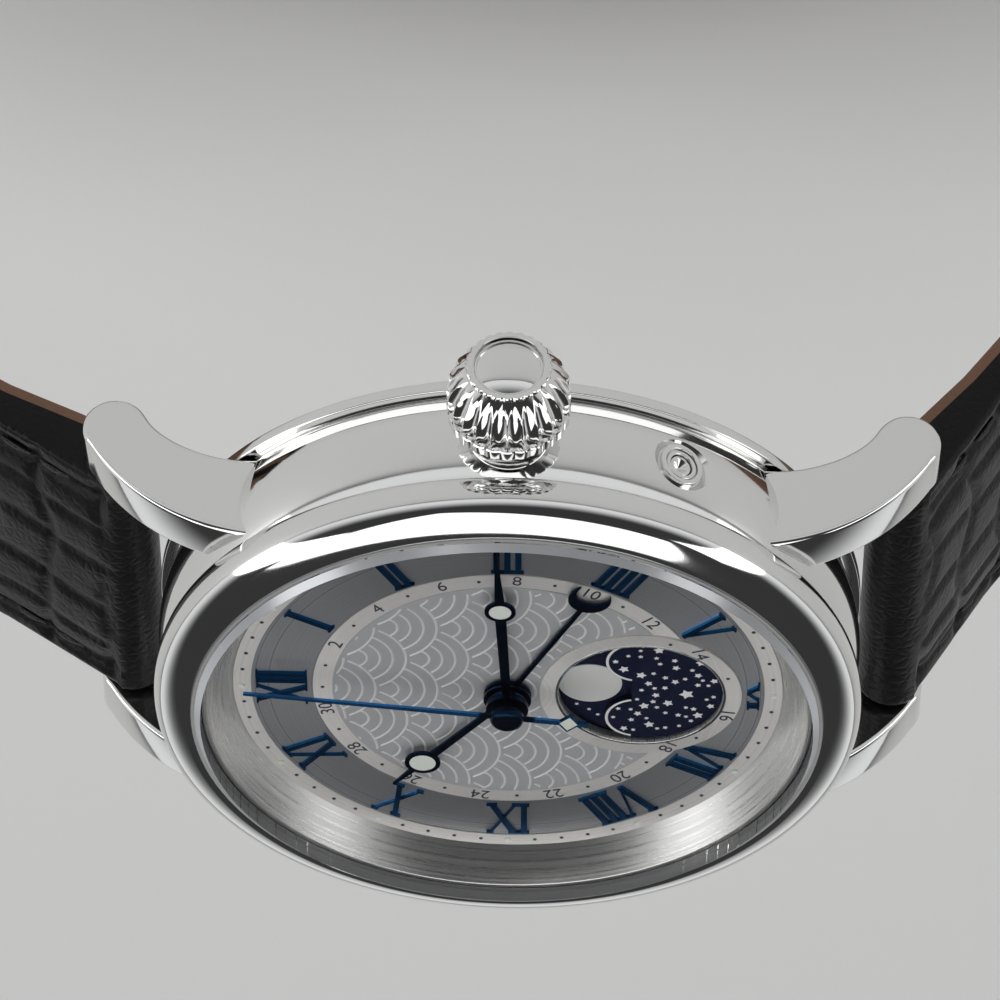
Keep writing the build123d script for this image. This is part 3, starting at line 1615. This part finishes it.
def tail_shape():
    """Pointed tail and its holes, seen from above."""
    half = strap_width / 2
    tip = -tail_end[0]
    with BuildSketch(Plane.XY.offset(dial_level)) as outline:
        with BuildLine():
            Line((-half, tip - tail_point_length), (-half, -2 * route_6_bend))
            Line((-half, -2 * route_6_bend), (half, -2 * route_6_bend))
            Line((half, -2 * route_6_bend), (half, tip - tail_point_length))
            ThreePointArc(
                (half, tip - tail_point_length), (half / 2, tip - tail_point_length / 5), (0, tip)
            )
            ThreePointArc(
                (0, tip), (-half / 2, tip - tail_point_length / 5), (-half, tip - tail_point_length)
            )
        make_face()
    extrude(
        outline.sketch, amount=floor_level - dial_level - cut_overrun, mode=Mode.INTERSECT
    )
    with BuildSketch(Plane.XY.offset(floor_level - cut_overrun)) as holes:
        for hole in range(tail_hole_count):
            with Locations((0, tip - tail_hole_margin - hole * tail_hole_spacing)):
                Circle(tail_hole_radius)
    extrude(
        holes.sketch, amount=2 * (strap_tail_padding + cut_overrun), mode=Mode.SUBTRACT
    )


with BuildPart() as strap_6:
    with BuildSketch(half_6_plane):
        leather_face(route_6_angle, moves_6)
        with Locations(bar_point):
            Circle(strap_bore_radius, mode=Mode.SUBTRACT)
    extrude(amount=strap_width / 2, both=True)
    side_taper()
    tail_shape()
strap_6.part.label = "strap_6"
export_step(strap_6.part, "parts/strap_6.step")

with BuildPart() as lining_6:
    with BuildSketch(half_6_plane):
        lining_face(route_6_angle, moves_6)
    extrude(amount=strap_width / 2, both=True)
    side_taper()
    tail_shape()
lining_6.part.label = "lining_6"
export_step(lining_6.part, "parts/lining_6.step")

# Keepers: closed leather loops round the straight stretch of the 12 o'clock half
keeper_length = 5.0
keeper_wall = 0.8
keeper_margin = 0.4
keeper_travel = 4.8
keeper_round = 0.6
straight_bottom_level = straight_top[1] - route_12_straight
for name, bottom in (
    ("fixed_keeper", straight_bottom_level + keeper_margin),
    ("loose_keeper", straight_top[1] - keeper_margin - keeper_length),
):
    with BuildPart() as keeper:
        with BuildSketch(Plane.XY.offset(bottom)):
            with Locations((0, straight_top[0])):
                RectangleRounded(
                    strap_width + 2 * (soft_clearance + keeper_wall),
                    2 * (strap_tail_padding + soft_clearance + keeper_wall),
                    keeper_round + keeper_wall,
                )
                Rectangle(
                    strap_width + 2 * soft_clearance,
                    2 * (strap_tail_padding + soft_clearance),
                    mode=Mode.SUBTRACT,
                )
        extrude(amount=keeper_length)
    keeper.part.label = name
    export_step(keeper.part, f"parts/{name}.step")

# Pin buckle: frame, its bar through the strap's end, and the tongue
buckle_side_width = 1.7
buckle_ear_reach = 1.5
buckle_gap = 0.3
tongue_radius = 0.7
tongue_drop = 0.45
tongue_ring_radius = 1.3
tongue_ring_width = 2.0
buckle_inner_half = strap_end_width / 2 + buckle_gap
buckle_outer_half = buckle_inner_half + buckle_side_width
buckle_round = 1.2
tongue_level = buckle_bar_level - tongue_drop
with BuildPart() as buckle:
    with BuildSketch(Plane.XY.offset(buckle_bar_level - buckle_thickness / 2)):
        with Locations((0, buckle_front_y - buckle_front_width)):
            Rectangle(
                2 * buckle_outer_half,
                buckle_length + buckle_front_width + buckle_ear_reach,
                align=(Align.CENTER, Align.MIN),
            )
        with Locations((0, buckle_front_y)):
            Rectangle(
                2 * buckle_inner_half,
                2 * buckle_length,
                align=(Align.CENTER, Align.MIN),
                mode=Mode.SUBTRACT,
            )
    extrude(amount=buckle_thickness)
    fillet(buckle.edges().filter_by(Axis.Z).group_by(Axis.Y)[0], radius=buckle_round)
    with BuildSketch(Plane.YZ.offset(-buckle_outer_half - cut_overrun)):
        with Locations((buckle_bar_y, buckle_bar_level)):
            Circle(buckle_bar_radius)
    extrude(amount=2 * (buckle_outer_half + cut_overrun), mode=Mode.SUBTRACT)
    with BuildSketch(Plane.XY.offset(tongue_level + tongue_radius + running_clearance)):
        with Locations((0, buckle_front_y + cut_overrun)):
            Rectangle(
                2 * (tongue_radius + sliding_clearance),
                buckle_front_width + 2 * cut_overrun,
                align=(Align.CENTER, Align.MAX),
            )
    extrude(amount=-buckle_thickness, mode=Mode.SUBTRACT)
buckle.part.label = "buckle"
export_step(buckle.part, "parts/buckle.step")

with BuildPart() as buckle_bar:
    with BuildSketch(Plane.YZ):
        with Locations((buckle_bar_y, buckle_bar_level)):
            Circle(buckle_bar_radius)
    extrude(amount=buckle_outer_half, both=True)
buckle_bar.part.label = "buckle_bar"
export_step(buckle_bar.part, "parts/buckle_bar.step")

with BuildPart() as tongue:
    with BuildSketch(Plane.YZ):
        with Locations((buckle_bar_y, buckle_bar_level)):
            Circle(tongue_ring_radius)
    extrude(amount=tongue_ring_width / 2, both=True)
    with BuildSketch(Plane.XZ.offset(-buckle_bar_y)):
        with Locations((0, tongue_level)):
            Circle(tongue_radius)
    extrude(amount=buckle_length + buckle_front_width - buckle_round / 2)
    with BuildSketch(Plane.YZ):
        with Locations((buckle_bar_y, buckle_bar_level)):
            Circle(buckle_bar_radius + running_clearance)
    extrude(amount=tongue_ring_width, both=True, mode=Mode.SUBTRACT)
tongue.part.label = "tongue"
export_step(tongue.part, "parts/tongue.step")

print("floor level", round(floor_level, 3), "buckle bar", round(buckle_bar_y, 3))
print("straight top", straight_top, "tail end", tail_end)
print("moon disc level", moon_disc_level, "date wheel level", date_wheel_level)
least_gap = spring_rise / corrector_spring_turns - corrector_wire
print("least gap between the corrector spring's turns", round(least_gap, 3))
